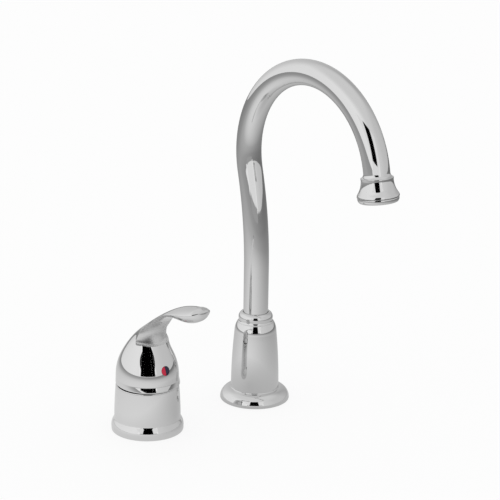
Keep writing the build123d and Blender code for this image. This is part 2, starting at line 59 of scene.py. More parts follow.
def addNode(tree, kind, inputs=None, stops=None, **settings):
    # an input is a value, a socket, or several sockets in a tuple; stops are a colour ramp's places and colours
    node = tree.nodes.new(kind)
    for name, value in settings.items():
        setattr(node, name, value)
    for name, value in (inputs or {}).items():
        sources = value if isinstance(value, tuple) else (value,)
        if isinstance(sources[0], bpy.types.NodeSocket):
            for source in sources:
                tree.links.new(source, node.inputs[name])
        else:
            node.inputs[name].default_value = value
    for i, (position, colour) in enumerate(stops or []):
        elements = node.color_ramp.elements
        element = elements[i] if i < 2 else elements.new(position)
        element.position, element.color = position, linear(colour)
    return node


# materials

def newMaterial(name):
    material = bpy.data.materials.new(name)
    material.use_nodes = True
    tree = material.node_tree
    tree.nodes.clear()
    return material, tree, addNode(tree, "ShaderNodeTexCoord").outputs["Object"]


def unevenSurface(tree, shader, cloud, roughness, height, depth, strength, colours=None):
    # with the cloud, roughness wanders between its two values and colour along its stops; height is the relief,
    # depth millimetres deep; the noises that serve as clouds stay between 0.3 and 0.7
    sheen = addNode(tree, "ShaderNodeMapRange", {"Value": cloud, "From Min": 0.3, "From Max": 0.7,
                                                 "To Min": roughness[0], "To Max": roughness[1]})
    relief = addNode(tree, "ShaderNodeBump", {"Height": height, "Distance": depth * mm, "Strength": strength})
    shader = shader | {"Roughness": sheen.outputs["Result"], "Normal": relief.outputs["Normal"]}
    if colours:
        shader["Base Color"] = addNode(tree, "ShaderNodeValToRGB", {"Fac": cloud}, colours).outputs["Color"]
    surface = addNode(tree, "ShaderNodeBsdfPrincipled", shader)
    addNode(tree, "ShaderNodeOutputMaterial", {"Surface": surface.outputs["BSDF"]})


def platedChrome(name, waviness, low, high):
    # bright chrome on polished brass or zinc: mirror-like, with a faint plating haze in clouds 11 mm across
    # and slow waves 18 mm long from the buffing wheel
    material, tree, place = newMaterial(name)
    haze = addNode(tree, "ShaderNodeTexNoise", {"Vector": place, "Scale": 90, "Detail": 4})
    waves = addNode(tree, "ShaderNodeTexNoise", {"Vector": place, "Scale": 55, "Detail": 1})
    unevenSurface(tree, {"Metallic": 1.0, "Base Color": linear("#E2E2E2")}, haze.outputs["Fac"], (low, high),
                  waves.outputs["Fac"], waviness, 0.4)
    return material


def machinedBrass():
    # free-cutting brass, turned and left bare: fine rings from the tool, darker tarnish in patches 17 mm across
    ringSpacing = 0.35 * mm
    material, tree, place = newMaterial("machinedBrass")
    rings = addNode(tree, "ShaderNodeTexWave", {"Vector": place, "Scale": math.pi / 10 / ringSpacing,
                                                "Distortion": 0.4}, bands_direction="Z")
    tarnish = addNode(tree, "ShaderNodeTexNoise", {"Vector": place, "Scale": 60, "Detail": 5})
    unevenSurface(tree, {"Metallic": 1.0}, tarnish.outputs["Fac"], (0.22, 0.38), rings.outputs["Fac"],
                  0.02, 0.5, [(0.3, "#A98545"), (0.7, "#CBA766")])
    return material


def metalSheet(name, colour, darker, low, high):
    # pressed or drawn metal: a satin surface, grained about 1 mm fine, with a little cloudiness 7 mm across
    material, tree, place = newMaterial(name)
    cloud = addNode(tree, "ShaderNodeTexNoise", {"Vector": place, "Scale": 140, "Detail": 5})
    skin = addNode(tree, "ShaderNodeTexNoise", {"Vector": place, "Scale": 900, "Detail": 2})
    unevenSurface(tree, {"Metallic": 1.0}, cloud.outputs["Fac"], (low, high), skin.outputs["Fac"], 0.01, 0.5,
                  [(0.35, darker), (0.65, colour)])
    return material


def mouldedPlastic(name, colour, darker, low, high, grain):
    # injection moulded: even colour, and the 0.6 mm spark-eroded grain of its tool
    material, tree, place = newMaterial(name)
    cloud = addNode(tree, "ShaderNodeTexNoise", {"Vector": place, "Scale": 45, "Detail": 3})
    sparks = addNode(tree, "ShaderNodeTexNoise", {"Vector": place, "Scale": 1600, "Detail": 2})
    unevenSurface(tree, {"IOR": 1.48}, cloud.outputs["Fac"], (low, high), sparks.outputs["Fac"], grain, 0.6,
                  [(0.35, darker), (0.65, colour)])
    return material


def nitrileRubber():
    # moulded black nitrile: matt, with a 0.8 mm grain and a little dust in patches 8 mm across
    material, tree, place = newMaterial("nitrileRubber")
    dust = addNode(tree, "ShaderNodeTexNoise", {"Vector": place, "Scale": 120, "Detail": 6})
    grain = addNode(tree, "ShaderNodeTexNoise", {"Vector": place, "Scale": 1300, "Detail": 3})
    unevenSurface(tree, {"IOR": 1.52}, dust.outputs["Fac"], (0.55, 0.8), grain.outputs["Fac"], 0.03, 0.7,
                  [(0.4, "#151617"), (0.75, "#2B2D2E")])
    return material


finishes = {
    "chrome": platedChrome("chromeOnBrass", 0.003, 0.03, 0.05),
    "handle_chrome": platedChrome("chromeOnCastZinc", 0.002, 0.015, 0.03),
    "brass": machinedBrass(),
    "zinc_steel": metalSheet("zincPlatedSteel", "#C9CDD0", "#AEB3B6", 0.25, 0.42),
    "stainless": metalSheet("brightStainless", "#C6C4C0", "#B4B2AE", 0.16, 0.26),
    "stainless_mesh": metalSheet("wovenStainlessWire", "#B9B8B4", "#9E9D9A", 0.2, 0.35),
    "acetal_white": mouldedPlastic("whiteAcetal", "#E6E6E0", "#DCDCD4", 0.32, 0.45, 0.006),
    "acetal_grey": mouldedPlastic("greyAcetal", "#6E7173", "#646769", 0.34, 0.48, 0.008),
    "cartridge_nylon": mouldedPlastic("glassFilledNylon", "#D6D1BE", "#C8C2AC", 0.4, 0.55, 0.012),
    "red_plastic": mouldedPlastic("redPolystyrene", "#C8173F", "#BC1238", 0.12, 0.2, 0.002),
    "blue_plastic": mouldedPlastic("blueBlackPolystyrene", "#16183A", "#111330", 0.12, 0.2, 0.002),
    "black_rubber": nitrileRubber(),
}
# the buffing wheel can't reach under the lever, so the plating stays satin there
hollowFinish = platedChrome("satinChromeOnCastZinc", 0.002, 0.34, 0.42)
for part in frame["record"]["subparts"]:
    mesh = cadNodes[part["node"]].data
    mesh.materials.clear()
    mesh.materials.append(finishes[part["material_slot"]])
print("materials on", len(cadNodes), "CAD nodes")


# mesh helpers, all sizes in millimetres

def arcPoints(start, middle, end, spacing=0.7):
    # points of the arc through three points, without its start
    (ax, ay), (bx, by), (cx, cy) = start, middle, end
    d = 2 * (ax * (by - cy) + bx * (cy - ay) + cx * (ay - by))
    ux = ((ax**2 + ay**2) * (by - cy) + (bx**2 + by**2) * (cy - ay) + (cx**2 + cy**2) * (ay - by)) / d
    uy = ((ax**2 + ay**2) * (cx - bx) + (bx**2 + by**2) * (ax - cx) + (cx**2 + cy**2) * (bx - ax)) / d
    radius = math.hypot(ax - ux, ay - uy)
    first = math.atan2(ay - uy, ax - ux)
    turn = (math.atan2(cy - uy, cx - ux) - first) % (2 * math.pi)
    if (math.atan2(by - uy, bx - ux) - first) % (2 * math.pi) > turn:
        turn -= 2 * math.pi
    count = max(3, math.ceil(abs(turn) * radius / spacing))
    angles = [first + turn * i / count for i in range(1, count + 1)]
    return [(ux + radius * math.cos(a), uy + radius * math.sin(a)) for a in angles]


def roundedProfile(start, *steps, edge=0.3, spacing=0.7):
    # closed (radius, z) outline from points and (middle, end) arcs, with its sharp corners rounded
    sharpTurn, roundingStep = 14, 15  # degrees
    points = [start]
    for step in steps + (start,):
        if isinstance(step[0], tuple):
            points += arcPoints(points[-1], *step, spacing)
        else:
            points.append(step)
    points = points[:-1]
    result = []
    for i, here in enumerate(points):
        before, here, after = Vector(points[i - 1]), Vector(here), Vector(points[(i + 1) % len(points)])
        inward, outward = (here - before), (after - here)
        turn = inward.angle(outward, 0.0)
        cut = min(edge * math.tan(turn / 2), 0.45 * inward.length, 0.45 * outward.length)
        if turn < math.radians(sharpTurn):
            result.append(tuple(here))
            continue
        a, c = here - inward.normalized() * cut, here + outward.normalized() * cut
        count = max(2, round(math.degrees(turn) / roundingStep))
        for k in range(count + 1):
            t = k / count
            result.append(tuple((1 - t)**2 * a + 2 * t * (1 - t) * here + t**2 * c))
    dense = []
    for a, b in zip(result, result[1:] + result[:1]):
        count = max(1, math.ceil(math.dist(a, b) / (4 * spacing)))
        dense += [(a[0] + (b[0] - a[0]) * i / count, a[1] + (b[1] - a[1]) * i / count) for i in range(count)]
    return dense


def finishPiece(name, mesh, body, slotName, *replaced, sharp=None):
    # a mesh in metres becomes a piece that rides a body, in the place of the nodes it replaces
    piece = bpy.data.objects.new(name, mesh)
    bpy.context.scene.collection.objects.link(piece)
    if not mesh.materials:
        mesh.materials.append(finishes[slotName])
    mesh.shade_smooth()
    if sharp:
        mesh.set_sharp_from_angle(angle=math.radians(sharp))
    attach(piece, body)
    if replaced:
        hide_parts(*replaced)
    return piece


def gridMesh(name, rings, closedAcross=True, place=Matrix()):
    # skin over rings of points; closedAcross joins the last ring to the first; a ring of one point is a pole
    mesh = bpy.data.meshes.new(name)
    build = bmesh.new()
    built = [[build.verts.new(place @ (Vector(p) * mm)) for p in ring] for ring in rings]
    pairs = zip(built, built[1:] + built[:1]) if closedAcross else zip(built, built[1:])
    for a, b in pairs:
        for i in range(max(len(a), len(b))):
            j = (i + 1) % max(len(a), len(b))
            if len(a) == len(b):
                build.faces.new([a[i], a[j], b[j], b[i]])
            elif len(a) == 1:
                build.faces.new([a[0], b[j], b[i]])
            else:
                build.faces.new([a[i], a[j], b[0]])
    bmesh.ops.recalc_face_normals(build, faces=build.faces)
    build.to_mesh(mesh)
    build.free()
    return mesh


def turnedMesh(name, profile, place=Matrix(), segments=160):
    # a closed (radius, z) outline swept round the z axis
    rings = []
    for radius, z in profile:
        angles = [2 * math.pi * i / segments for i in range(segments)]
        rings.append([(radius * math.cos(a), radius * math.sin(a), z) for a in angles])
    return gridMesh(name, rings, True, place)


def turnedPiece(name, outline, body, replaced, place=Matrix()):
    # a chromed piece turned from its outline, in the place of one node
    finishPiece(name, turnedMesh(name, outline, place), body, "chrome", replaced)


valveMatrix = Matrix.Translation(Vector(valveShift) * mm)


# spout: one bent tube

spout = {
    "tubeRadius": 11.1, "tubeWall": 1.1, "startZ": 70.0, "neckTopZ": 124.3,
    "leanRadius": 368.0, "leanAngle": 13.6, "archRadius": 81.7, "outletAngle": 8.0,
    "endSteps": (2.5, 5.0), "bellOverlap": 7.5,  # the tube runs on straight inside the bell
    "segments": 112, "spacing": 2.0, "boreStride": 3,  # the bore takes every third station
}


def archCentre():
    # reach and height of the large arch's centre
    lean = math.radians(spout["leanAngle"])
    reach = -spout["leanRadius"] * (1 - math.cos(lean)) + spout["archRadius"] * math.cos(lean)
    return reach, spout["neckTopZ"] + (spout["leanRadius"] + spout["archRadius"]) * math.sin(lean)


def neckMesh():
    # outside and bore of the tube as one closed skin: straight, leaning back, arch, straight end in the bell
    lean, out = math.radians(spout["leanAngle"]), math.radians(spout["outletAngle"])
    centre = archCentre()
    stations = []  # (reach, z, direction angle from +reach, counter-clockwise)
    for i in range(round((spout["neckTopZ"] - spout["startZ"]) / spout["spacing"])):
        stations.append((0.0, spout["startZ"] + i * spout["spacing"], math.pi / 2))
    count = round(spout["leanRadius"] * lean / spout["spacing"])
    for i in range(count):
        a = lean * i / count
        stations.append((-spout["leanRadius"] * (1 - math.cos(a)),
                         spout["neckTopZ"] + spout["leanRadius"] * math.sin(a), math.pi / 2 + a))
    start = math.pi + lean  # angle on the arch where the lean hands over
    turn = start - out
    count = round(spout["archRadius"] * turn / spout["spacing"])
    for i in range(count + 1):
        a = start - turn * i / count
        stations.append((centre[0] + spout["archRadius"] * math.cos(a),
                         centre[1] + spout["archRadius"] * math.sin(a), a - math.pi / 2))
    reach, z, heading = stations[-1]
    for step in spout["endSteps"] + (spout["bellOverlap"],):
        stations.append((reach + step * math.cos(heading), z + step * math.sin(heading), heading))

    def loop(radius, stations):
        rings = []
        for reach, z, heading in stations:
            ring = []
            for k in range(spout["segments"]):
                a = 2 * math.pi * k / spout["segments"]
                side, rise = radius * math.cos(a), radius * math.sin(a)
                ring.append((side, -(reach - rise * math.sin(heading)), z + rise * math.cos(heading)))
            rings.append(ring)
        return rings

    outside = loop(spout["tubeRadius"], stations)
    inside = loop(spout["tubeRadius"] - spout["tubeWall"], stations[::spout["boreStride"]] + stations[-1:])
    return gridMesh("spoutNeck", outside + inside[::-1], True)


finishPiece("spoutNeck", neckMesh(), "spout", "chrome", "spout_tube")


def outletMatrix():
    # stands at the neck's end, its z axis running downstream
    out = math.radians(spout["outletAngle"])
    centre = archCentre()
    reach = centre[0] + spout["archRadius"] * math.cos(out)
    z = centre[1] + spout["archRadius"] * math.sin(out)
    downstream = Vector((0, -math.sin(out), -math.cos(out)))
    side = Vector((1, 0, 0))
    across = downstream.cross(side)
    turn = Matrix((side, across, downstream)).transposed().to_4x4()
    return Matrix.Translation(Vector((0, -reach, z)) * mm) @ turn


# radii, and places along the outlet's axis from the neck's end
bell = {
    "start": -2.0, "ridge": 13.7, "waist": 13.5, "waistAt": 3.6, "mouth": 17.7, "mouthAt": 17.6,
    "socket": 13.2, "socketAt": 9.0, "bore": 10.0,
}
bellOutline = roundedProfile(
    (spout["tubeRadius"], bell["start"]), ((11.9, 0.6), (bell["ridge"], 1.9)), (bell["ridge"], 2.6),
    (bell["waist"], bell["waistAt"]), ((bell["waist"] + 0.85, 9.4), (bell["mouth"] - 0.6, 15.2)),
    ((bell["mouth"] - 0.1, 16.4), (bell["mouth"], bell["mouthAt"])),
    (bell["socket"], bell["mouthAt"]), (bell["socket"], bell["socketAt"]), (bell["bore"], bell["socketAt"]),
    (bell["bore"], spout["bellOverlap"]), (spout["tubeRadius"], spout["bellOverlap"]),
)
turnedPiece("outletBell", bellOutline, "spout", "outlet_bell", outletMatrix())

housing = {
    "thread": 13.15, "start": 10.6, "flangeAt": 18.1, "flange": 17.2, "lip": 15.2, "end": 22.3,
    "mouth": 12.6, "bore": 11.8, "boreEnd": 21.3,
}
housingOutline = roundedProfile(
    (housing["thread"], housing["start"]), (housing["thread"], housing["flangeAt"]),
    (housing["flange"], housing["flangeAt"]), ((housing["flange"], 20.0), (15.9, 22.0)),
    (housing["lip"], housing["end"]), (housing["mouth"], housing["end"]), (housing["bore"], housing["boreEnd"]),
    (housing["bore"], housing["start"]),
)
turnedPiece("aeratorHousing", housingOutline, "spout", "aerator_housing", outletMatrix())
print("spout")


# pedestal, collar, valve sleeve: each outline runs up the outside and down the inside

pedestal = {
    "foot": [(30.9, 0.3), (31.1, 1.0)],
    "flange": [((28.8, 7.4), (21.8, 10.8)), (21.5, 11.3)],
    "wall": [((20.7, 40.0), (18.8, 64.5))],
    "shoulder": [((18.15, 68.8), (16.1, 73.4))],
    "collarSeat": [(14.4, 73.4), (14.4, 71.2)],
    "inside": [(16.6, 63.5), (19.3, 10.8), (19.3, 6.0), (27.9, 3.4), (29.5, 1.5), (29.5, 0.3)],
}
pedestalOutline = roundedProfile(*[step for part in pedestal.values() for step in part], edge=0.5)
turnedPiece("spoutPedestal", pedestalOutline, "base", "spout_pedestal")

collar = {
    "tail": [(13.0, 58.0), (14.2, 58.0), (14.2, 73.4)],
    "waist": [(16.1, 73.4), ((15.35, 74.3), (15.05, 75.8))],
    "bead": [((15.3, 78.2), (14.5, 80.4)), ((13.3, 81.7), (11.4, 82.4))],
    "inside": [(11.4, 71.2), (13.0, 71.2)],
}
collarOutline = roundedProfile(*[step for part in collar.values() for step in part])
turnedPiece("spoutCollar", collarOutline, "base", "spout_collar")

sleeve = {
    "foot": [(31.1, 0.3), (31.3, 1.0), (31.4, 4.4), ((30.7, 7.9), (29.6, 10.0))],
    "fillet": [((29.0, 11.0), (28.8, 12.5))],
    "wall": [((28.4, 27.0), (27.5, 40.9)), ((27.25, 41.45), (26.7, 41.7))],
    "top": [(14.1, 41.7), (14.1, 39.7), (25.5, 39.7)],
    "inside": [(26.4, 20.0), (26.4, 8.0), (29.6, 4.0), (29.6, 0.3)],
}
sleeveOutline = roundedProfile(*[step for part in sleeve.values() for step in part])
turnedPiece("valveSleeve", sleeveOutline, "base", "valve_trim_sleeve", valveMatrix)
print("covers")


# handle: dome and lever as one skin over sections, hollowed under the lever's root

handleShape = {
    # reach, height, backward tilt of the section, rise above and drop below its side edges, half width
    "sections": [
        (0.0, 38.0, 0.0, 26.8, 26.8, 26.8),
        (0.0, 52.0, 0.0, 27.3, 27.3, 27.3),
        (0.0, 65.6, 1.0, 24.4, 24.4, 24.6),
        (2.0, 76.2, 9.0, 19.0, 19.0, 19.9),
        (5.9, 85.7, 27.0, 12.6, 13.8, 16.6),
        (10.8, 95.6, 45.0, 6.2, 7.6, 15.3),
        (23.4, 107.8, 57.0, 2.9, 2.2, 13.9),
        (35.6, 115.6, 65.0, 2.8, 2.8, 12.8),
        (49.6, 120.9, 71.0, 4.2, 7.2, 13.2),
        (63.4, 123.3, 74.0, 5.6, 8.2, 12.9),
        (70.4, 125.0, 75.3, 5.4, 6.9, 11.5),
        (74.0, 126.2, 76.0, 4.6, 5.2, 9.2),
        (76.0, 127.0, 76.0, 2.8, 2.6, 6.4),
    ],
    "around": 208, "spacing": 0.55, "footRings": 20, "edgeRound": 0.9, "tip": 1.1, "tipRings": 6,
    "rimZ": 43.75, "rimTilt": 2.0, "rimEdge": 0.35, "rimRings": 4, "rimFlare": 1.35, "flareHeight": 4.6,
    # the cavity under the dome: straight bore, an arc's middle and end, cone, flat ceiling
    "bore": 25.3, "boreEdge": 0.3, "boreHeights": (46.0, 49.0, 52.0), "cavityArc": ((24.6, 58.5), (22.0, 65.0)),
    "cavityCone": [(18.9, 69.5), (15.8, 74.0)], "ceilingRadii": (12.0, 6.0), "ceilingZ": 76.0,
    # the hollow under the lever's root: reach and height of its middle, the same at its sides, their half width
    "hollow": [
        (60.0, 70.0, 60.0, 70.0, 17.0),
        (34.0, 77.5, 34.0, 77.5, 17.0),
        (24.0, 78.8, 18.0, 81.2, 17.0),
        (17.6, 81.2, 8.4, 83.4, 17.0),
        (15.2, 85.3, 5.0, 85.6, 16.8),
        (13.9, 89.6, 5.6, 88.6, 16.5),
        (13.8, 93.6, 7.6, 92.4, 15.8),
        (15.2, 97.6, 11.4, 96.6, 15.1),
        (18.2, 101.0, 15.9, 101.8, 14.5),
        (22.6, 104.2, 20.8, 105.8, 14.0),
        (27.4, 106.4, 26.4, 109.9, 13.5),
        (34.0, 107.8, 34.0, 112.4, 12.9),
        (60.0, 108.0, 60.0, 108.0, 12.0),
    ],
    "hollowHalf": 24.0,
    # seat of the button, measured along its own axis, and the boss behind it
    "buttonReach": 25.0, "buttonZ": 60.3, "buttonTilt": 20.0, "buttonRadius": 4.27,
    "seatDepth": 3.0, "seatTop": 10.0,
    "bossRadius": 6.3, "bossFrom": -9.2, "bossTo": -2.0,
    "screwZ": 60.5, "screwRadius": 2.0, "screwFrom": 10.0, "screwTo": 24.0,
    "ribAt": 8.3, "ribHalf": 1.3, "ribFront": -12.0, "ribBack": 10.0, "ribLowZ": 66.0,
}


def splineThrough(t, values):
    # natural cubic spline through rows of values, as a function of t
    t, values = np.array(t, float), np.array(values, float)
    n = len(t)
    h = np.diff(t)
    system = np.zeros((n, n))
    right = np.zeros((n, values.shape[1]))
    system[0, 0] = system[-1, -1] = 1.0
    for i in range(1, n - 1):
        system[i, i - 1:i + 2] = h[i - 1], 2 * (h[i - 1] + h[i]), h[i]
        right[i] = 6 * ((values[i + 1] - values[i]) / h[i] - (values[i] - values[i - 1]) / h[i - 1])
    bend = np.linalg.solve(system, right)

    def at(x):
        i = min(max(int(np.searchsorted(t, x)) - 1, 0), n - 2)
        a, b = (t[i + 1] - x) / h[i], (x - t[i]) / h[i]
        return (a * values[i] + b * values[i + 1]
                + ((a**3 - a) * bend[i] + (b**3 - b) * bend[i + 1]) * h[i]**2 / 6)

    return at


def softMin(a, b, width):
    # the smaller of two values, blended where they are about as large
    h = np.clip(0.5 + 0.5 * (b - a) / width, 0.0, 1.0)
    return b * (1 - h) + a * h - width * h * (1 - h)


def handleBlank():
    # the casting's outside over its sections, and the cavity under the dome, as one closed skin
    shape = handleShape
    sections = np.array(shape["sections"])
    t = np.concatenate([[0], np.cumsum(np.hypot(*np.diff(sections[:, :2], axis=0).T))])
    at = splineThrough(t, sections)
    theta = np.linspace(0, 2 * math.pi, shape["around"], endpoint=False)
    across, along = np.cos(theta), np.sin(theta)
    slope = math.tan(math.radians(shape["rimTilt"]))

    def ring(x):
        reach, z, tilt, rise, drop, half = at(x)
        rise, drop, half = max(rise, 0.4), max(drop, 0.4), max(half, 0.6)  # so no section turns inside out
        tilt = math.radians(tilt)
        back = (-math.cos(tilt), math.sin(tilt))  # towards the handle's back or top, in (reach, z)

        def arcReach(height, sign):
            # how far the arc through both side edges and this height lies from the middle, in each direction
            radius = (half**2 + height**2) / (2 * height)
            middle = sign * (height - radius)
            return along * middle + np.sqrt(np.maximum((along * middle)**2 - middle**2 + radius**2, 0))

        # where the section is round it has no side edges to round
        rounding = shape["edgeRound"] * min(1.0, max(half / rise - 1, 0) * 3 + 1e-3)
        r = softMin(arcReach(rise, 1), arcReach(drop, -1), rounding)
        return np.stack([r * across, -(reach + r * along * back[0]), z + r * along * back[1]], 1)

    rings = []
    # the dome's foot, from the tilted rim up to where the sections are level
    for i in range(shape["footRings"]):
        points = []
        for a, b in zip(across, along):
            rim = shape["rimZ"] + slope * sections[0, 5] * b
            z = rim + (sections[1, 1] - rim) * i / shape["footRings"]
            flare = shape["rimFlare"] * (1 - b) / 2 * max(0.0, 1 - (z - rim) / shape["flareHeight"])
            radius = at(z - sections[0, 1])[5] + flare
            points.append((radius * a, radius * b, z))
        rings.append(points)
    count = round((t[-1] - t[1]) / shape["spacing"])
    for i in range(count + 1):
        rings.append([tuple(p) for p in ring(t[1] + (t[-1] - t[1]) * i / count)])
    last = np.array(rings[-1])
    middle = last.mean(axis=0)
    tilt = math.radians(sections[-1, 2])
    ahead = np.array((0, -math.sin(tilt), math.cos(tilt))) * shape["tip"]
    for k in range(1, shape["tipRings"]):  # rounded tip
        a = math.pi / 2 * k / shape["tipRings"]
        rings.append([tuple(p) for p in middle + (last - middle) * math.cos(a) + ahead * math.sin(a)])
    rings.append([tuple(middle + ahead)])

    outer = np.hypot(*np.array(rings[0])[:, :2].T)
    edge = shape["rimEdge"]
    inside = []  # rounded rim edge, then the cavity up to its ceiling
    for k in range(1, shape["rimRings"] + 1):
        a = math.pi / 2 * k / shape["rimRings"]
        inside.append((outer - edge * (1 - math.cos(a)), -edge * math.sin(a)))
    bore = np.full_like(outer, shape["bore"])
    inside += [(bore + shape["boreEdge"], -edge), (bore, shape["boreEdge"] - edge)]
    skirt = []
    for radii, drop in inside:
        skirt.append([(r * a, r * b, shape["rimZ"] + slope * r * b + drop)
                      for r, a, b in zip(radii, across, along)])
    cavity = [(shape["bore"], z) for z in shape["boreHeights"]]
    cavity += arcPoints(cavity[-1], *shape["cavityArc"], spacing=1.5)
    cavity += shape["cavityCone"] + [(radius, shape["ceilingZ"]) for radius in shape["ceilingRadii"]]
    for radius, z in cavity:
        skirt.append([(radius * a, radius * b, z) for a, b in zip(across, along)])
    skirt.append([(0, 0, shape["ceilingZ"])])
    return gridMesh("handleCasting", skirt[::-1] + rings, False)


def capped(mesh):
    # closes a skin's open ends
    build = bmesh.new()
    build.from_mesh(mesh)
    bmesh.ops.holes_fill(build, edges=[edge for edge in build.edges if edge.is_boundary])
    bmesh.ops.recalc_face_normals(build, faces=build.faces)
    build.to_mesh(mesh)
    build.free()
    return mesh


def prismMesh(name, outline, low, high, place=Matrix()):
    # straight prism over a closed outline of (x, y) points, between two heights of its own z
    return capped(gridMesh(name, [[(x, y, z) for x, y in outline] for z in (low, high)], False, place))


def hollowMesh():
    # a smooth saddle between the lever's side edges, closed in front of the casting
    rows = np.array(handleShape["hollow"])
    at = splineThrough(range(len(rows)), rows)
    dense = [at(v) for v in np.linspace(0, len(rows) - 1, 12 * len(rows))]
    furthest = 1.5  # share of the step from middle to side at which the saddle goes level
    loops = []
    for x in np.linspace(-handleShape["hollowHalf"], handleShape["hollowHalf"], 97):
        loop = []
        for reach, z, sideReach, sideZ, half in dense:
            share = min((x / half)**2, furthest)
            loop.append((x, -(reach + (sideReach - reach) * share), z + (sideZ - z) * share))
        loops.append(loop)
    return capped(gridMesh("hollow", loops, False))


def combined(mesh, steps):
    # a mesh after boolean steps of (operation, other mesh)
    thing = bpy.data.objects.new("combining", mesh)
    bpy.context.scene.collection.objects.link(thing)
    tools = []
    for operation, other in steps:
        tool = bpy.data.objects.new("tool", other)
        bpy.context.scene.collection.objects.link(tool)
        tools.append(tool)
        modifier = thing.modifiers.new(operation, "BOOLEAN")
        modifier.operation, modifier.solver, modifier.object = operation, "EXACT", tool
        modifier.material_mode = "TRANSFER"
    result = bpy.data.meshes.new_from_object(thing.evaluated_get(bpy.context.evaluated_depsgraph_get()))
    for extra in [thing] + tools:
        bpy.data.objects.remove(extra)
    return result


def circle(radius, count):
    # outline for a prism
    angles = [2 * math.pi * i / count for i in range(count)]
    return [(radius * math.cos(a), radius * math.sin(a)) for a in angles]


def handleMesh():
    # the blank with its boss and ribs, less the hollow under the lever, the screw's bore and the button's seat
    shape = handleShape
    tilt = math.radians(shape["buttonTilt"])
    outward = Vector((0, -math.cos(tilt), math.sin(tilt)))
    upward = Vector((0, math.sin(tilt), math.cos(tilt)))
    buttonPlace = Matrix.Translation(Vector((0, -shape["buttonReach"], shape["buttonZ"])) * mm)
    buttonPlace @= Matrix((upward.cross(outward), upward, outward)).transposed().to_4x4()
    screwPlace = Matrix.Translation(Vector((0, 0, shape["screwZ"])) * mm)
    screwPlace @= Matrix.Rotation(math.radians(90), 4, "X")
    boss = prismMesh("boss", circle(shape["bossRadius"], 48), shape["bossFrom"], shape["bossTo"], buttonPlace)
    steps = [("UNION", boss)]
    for side in (-1, 1):
        left, right = side * shape["ribAt"] - shape["ribHalf"], side * shape["ribAt"] + shape["ribHalf"]
        front, back = shape["ribFront"], shape["ribBack"]
        outline = [(left, front), (right, front), (right, back), (left, back)]
        steps.append(("UNION", prismMesh("rib", outline, shape["ribLowZ"], shape["ceilingZ"] + 1.0)))
    hollow = hollowMesh()
    hollow.materials.append(hollowFinish)
    screwHole, buttonHole = circle(shape["screwRadius"], 32), circle(shape["buttonRadius"], 64)
    screwBore = prismMesh("screwBore", screwHole, shape["screwFrom"], shape["screwTo"], screwPlace)
    buttonSeat = prismMesh("buttonSeat", buttonHole, -shape["seatDepth"], shape["seatTop"], buttonPlace)
    steps += [("DIFFERENCE", cut) for cut in (hollow, screwBore, buttonSeat)]
    blank = handleBlank()
    for other in [blank] + [tool for _, tool in steps]:
        if not other.materials:
            other.materials.append(finishes["handle_chrome"])
    mesh = combined(blank, steps)
    mesh.transform(valveMatrix)
    return mesh


handleCasting = finishPiece("handleCasting", handleMesh(), "lever", "handle_chrome", "handle", sharp=32)
print("handle", len(handleCasting.data.polygons), "faces")


# threads and the woven screen, by Geometry Nodes

def nodeTree(name, sockets):
    # a Geometry Nodes tree with named inputs (name, kind), and the sockets of its input node
    tree = bpy.data.node_groups.new(name, "GeometryNodeTree")
    for label, kind in sockets:
        tree.interface.new_socket(label, in_out="INPUT", socket_type="NodeSocket" + kind)
    tree.interface.new_socket("Geometry", in_out="OUTPUT", socket_type="NodeSocketGeometry")
    return tree, addNode(tree, "NodeGroupInput").outputs


def finishTree(tree, geometry, material):
    # ends the tree in real geometry that carries its material
    whole = addNode(tree, "GeometryNodeRealizeInstances", {"Geometry": geometry}).outputs["Geometry"]
    faced = addNode(tree, "GeometryNodeSetMaterial", {
        "Geometry": whole, "Material": material}).outputs["Geometry"]
    addNode(tree, "NodeGroupOutput", {"Geometry": faced})


def grownMesh(name, tree, values, place=Matrix()):
    # the plain mesh that a tree makes with these values of its inputs
    thing = bpy.data.objects.new(name, bpy.data.meshes.new(name + "Seed"))
    bpy.context.scene.collection.objects.link(thing)
    modifier = thing.modifiers.new("nodes", "NODES")
    modifier.node_group = tree
    for socket in tree.interface.items_tree:
        if socket.in_out == "INPUT":
            modifier[socket.identifier] = values[socket.name]
    mesh = bpy.data.meshes.new_from_object(thing.evaluated_get(bpy.context.evaluated_depsgraph_get()))
    bpy.data.objects.remove(thing)
    build = bmesh.new()
    build.from_mesh(mesh)
    bmesh.ops.recalc_face_normals(build, faces=build.faces)
    build.to_mesh(mesh)
    build.free()
    mesh.transform(place)
    return mesh


def threadTree():
    # a ridge of diamond section wound up a post: half of it stands proud of the post, which hides the rest
    flankShare = 0.44  # of the pitch
    tree, given = nodeTree("cutThread", [("Radius", "Float"), ("Pitch", "Float"), ("Length", "Float"),
                                         ("Depth", "Float"), ("Steps", "Int"), ("Material", "Material")])
    turns = addNode(tree, "ShaderNodeMath", {0: given["Length"], 1: given["Pitch"]},
                    operation="DIVIDE").outputs[0]
    helix = addNode(tree, "GeometryNodeCurveSpiral", {
        "Resolution": given["Steps"], "Rotations": turns, "Start Radius": given["Radius"],
        "End Radius": given["Radius"], "Height": given["Length"]}).outputs["Curve"]
    level = addNode(tree, "GeometryNodeSetCurveNormal", {"Curve": helix}, mode="Z_UP").outputs["Curve"]
    width = addNode(tree, "ShaderNodeMath", {0: given["Depth"], 1: 2.0}, operation="MULTIPLY").outputs[0]
    flank = addNode(tree, "ShaderNodeMath", {0: given["Pitch"], 1: flankShare}, operation="MULTIPLY").outputs[0]
    section = addNode(tree, "GeometryNodeCurvePrimitiveQuadrilateral", {
        "Width": width, "Bottom Height": flank, "Top Height": flank}, mode="KITE").outputs["Curve"]
    ridge = addNode(tree, "GeometryNodeCurveToMesh", {
        "Curve": level, "Profile Curve": section, "Fill Caps": True})
    finishTree(tree, ridge.outputs["Mesh"], given["Material"])
    return tree


